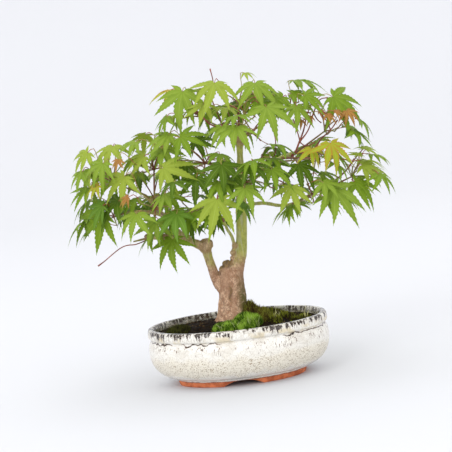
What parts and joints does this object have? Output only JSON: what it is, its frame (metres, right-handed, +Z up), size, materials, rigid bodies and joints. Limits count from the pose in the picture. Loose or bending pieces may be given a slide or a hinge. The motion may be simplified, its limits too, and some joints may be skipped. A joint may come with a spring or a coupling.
{
  "type": "japanese maple bonsai in a shallow oval pot",
  "caption": "Small potted maple with a forked trunk, spreading boughs and open masses of lobed leaves, in soil with moss in a shallow oval glazed pot that stands on its arched foot.",
  "frame": {"origin": "on the level that the pot stands on, under the middle of the whole outline", "axes": "+Z up, the plant's front and the pot's long side face -Y, +X to the right of the front"},
  "size_m": [0.2906, 0.1736, 0.2681],
  "materials": {
    "glaze": "crackled cream glaze with brown speckle, bare terracotta foot",
    "soil": "dark moist grit",
    "moss": "soft living moss",
    "trunk_bark": "smooth grey-brown bark with fine cracks",
    "bough_bark": "olive young bark with fine grey lines",
    "foliage": "thin soft leaves, yellow-green to mid green"
  },
  "bodies": {
    "root": {"pot": "glaze", "soil": "soil", "moss_carpet": "moss", "moss_left": "moss", "trunk": "trunk_bark", "leader": "bough_bark", "left_bough_riser": "bough_bark", "left_bough_arm": "bough_bark", "left_bough_upper": "bough_bark", "left_bough_outer": "bough_bark", "left_bough_back": "bough_bark", "upper_right_bough": "bough_bark", "lower_right_bough": "bough_bark", "back_bough": "bough_bark", "front_bough": "bough_bark", "small_shoot": "bough_bark", "head_top_foliage": "foliage", "head_left_foliage": "foliage", "head_right_foliage": "foliage", "head_front_foliage": "foliage", "head_back_foliage": "foliage", "centre_front_low_foliage": "foliage", "centre_front_foliage": "foliage", "centre_left_foliage": "foliage", "back_left_foliage": "foliage", "back_right_foliage": "foliage", "right_high_foliage": "foliage", "right_middle_foliage": "foliage", "right_tip_foliage": "foliage", "right_low_foliage": "foliage", "right_back_foliage": "foliage", "left_upper_foliage": "foliage", "left_outer_foliage": "foliage", "left_low_foliage": "foliage", "left_front_foliage": "foliage", "left_inner_foliage": "foliage", "left_back_foliage": "foliage", "left_back_low_foliage": "foliage", "left_shoot_foliage": "foliage"}
  },
  "joints": []
}
